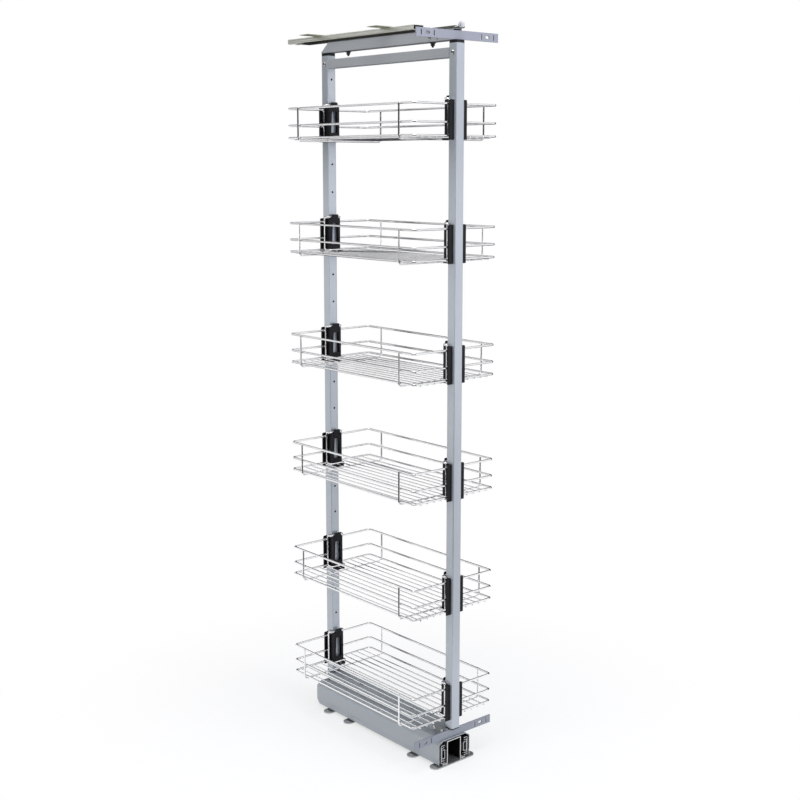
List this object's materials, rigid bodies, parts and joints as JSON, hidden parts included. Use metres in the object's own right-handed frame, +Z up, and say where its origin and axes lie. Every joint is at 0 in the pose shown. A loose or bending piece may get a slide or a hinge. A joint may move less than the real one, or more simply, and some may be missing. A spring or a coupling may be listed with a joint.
{
  "type": "pull out larder unit",
  "caption": "Tall pull-out larder frame for a narrow kitchen cabinet: chromed wire baskets hang between two square posts on a telescopic floor runner and a top slide.",
  "frame": {"origin": "underside of the floor plate, at the middle of the width and midway between the two posts with the unit pushed in", "axes": "+X across the cabinet to the right seen from the front, -Y out of the cabinet towards the front, +Z up"},
  "size_m": [0.266, 0.6464, 1.7648],
  "materials": {
    "silver_paint": "satin silver-grey coating",
    "zinc": "zinc plated",
    "cream_zinc": "yellowish zinc passivated",
    "dark_steel": "dark greased steel",
    "steel_balls": "polished",
    "chrome_wire": "bright chrome plated",
    "black_plastic": "moulded satin black",
    "white_plastic": "smooth white",
    "black_bolt": "blackened",
    "bright_screw": "bright plated"
  },
  "bodies": {
    "base": {"floor_plate": "zinc", "base_channel": "zinc", "slide_spacers": "dark_steel", "floor_slide_fixed": "zinc", "base_rivets": "zinc", "top_rail": "cream_zinc", "top_rail_tabs": "cream_zinc"},
    "floor_slide_middle": {"floor_slide_mid": "zinc", "floor_slide_balls": "steel_balls"},
    "top_slide_middle": {"top_slide_mid": "dark_steel"},
    "end_roller": {"top_roller": "white_plastic"},
    "carriage": {"runner_cover": "silver_paint", "cover_liners": "black_plastic", "floor_slide_outer": "zinc", "lower_beam": "silver_paint", "front_post": "silver_paint", "rear_post": "silver_paint", "post_caps": "black_plastic", "crossbar": "silver_paint", "upper_beam": "silver_paint", "beam_bolts": "black_bolt", "top_slide_seat": "dark_steel", "upper_door_bracket": "silver_paint", "lower_door_bracket": "silver_paint", "foot_plates": "silver_paint", "frame_screws": "bright_screw", "front_clip_1": "black_plastic", "front_clip_2": "black_plastic", "front_clip_3": "black_plastic", "front_clip_4": "black_plastic", "front_clip_5": "black_plastic", "front_clip_6": "black_plastic", "rear_clip_1": "black_plastic", "rear_clip_2": "black_plastic", "rear_clip_3": "black_plastic", "rear_clip_4": "black_plastic", "rear_clip_5": "black_plastic", "rear_clip_6": "black_plastic"},
    "basket_1": {"basket_1": "chrome_wire", "basket_floor_1": "chrome_wire", "basket_hoops_1": "chrome_wire"},
    "basket_2": {"basket_2": "chrome_wire", "basket_floor_2": "chrome_wire", "basket_hoops_2": "chrome_wire"},
    "basket_3": {"basket_3": "chrome_wire", "basket_floor_3": "chrome_wire", "basket_hoops_3": "chrome_wire"},
    "basket_4": {"basket_4": "chrome_wire", "basket_floor_4": "chrome_wire", "basket_hoops_4": "chrome_wire"},
    "basket_5": {"basket_5": "chrome_wire", "basket_floor_5": "chrome_wire", "basket_hoops_5": "chrome_wire"},
    "basket_6": {"basket_6": "chrome_wire", "basket_floor_6": "chrome_wire", "basket_hoops_6": "chrome_wire"}
  },
  "joints": [
    {"name": "pull_out", "type": "slide", "parent": "base", "child": "carriage", "axis": [0, -1, 0], "range_m": [0, 0.48]},
    {"name": "floor_slide_run", "type": "slide", "parent": "base", "child": "floor_slide_middle", "axis": [0, -1, 0], "range_m": [0, 0.24]},
    {"name": "top_slide_run", "type": "slide", "parent": "base", "child": "top_slide_middle", "axis": [0, -1, 0], "range_m": [0, 0.24]},
    {"name": "roller_spin", "type": "hinge", "parent": "carriage", "child": "end_roller", "pos_m": [0, -0.2519, 1.7524], "axis": [1, 0, 0], "continuous": true},
    {"name": "lift_1", "type": "slide", "parent": "carriage", "child": "basket_1", "axis": [0, 0, 1], "range_m": [0, 0.06]},
    {"name": "lift_2", "type": "slide", "parent": "carriage", "child": "basket_2", "axis": [0, 0, 1], "range_m": [0, 0.06]},
    {"name": "lift_3", "type": "slide", "parent": "carriage", "child": "basket_3", "axis": [0, 0, 1], "range_m": [0, 0.06]},
    {"name": "lift_4", "type": "slide", "parent": "carriage", "child": "basket_4", "axis": [0, 0, 1], "range_m": [0, 0.06]},
    {"name": "lift_5", "type": "slide", "parent": "carriage", "child": "basket_5", "axis": [0, 0, 1], "range_m": [0, 0.06]},
    {"name": "lift_6", "type": "slide", "parent": "carriage", "child": "basket_6", "axis": [0, 0, 1], "range_m": [0, 0.06]}
  ],
  "couplings": [
    {"joint": "floor_slide_run", "follows": "pull_out", "ratio": 0.5},
    {"joint": "top_slide_run", "follows": "pull_out", "ratio": 0.5}
  ]
}
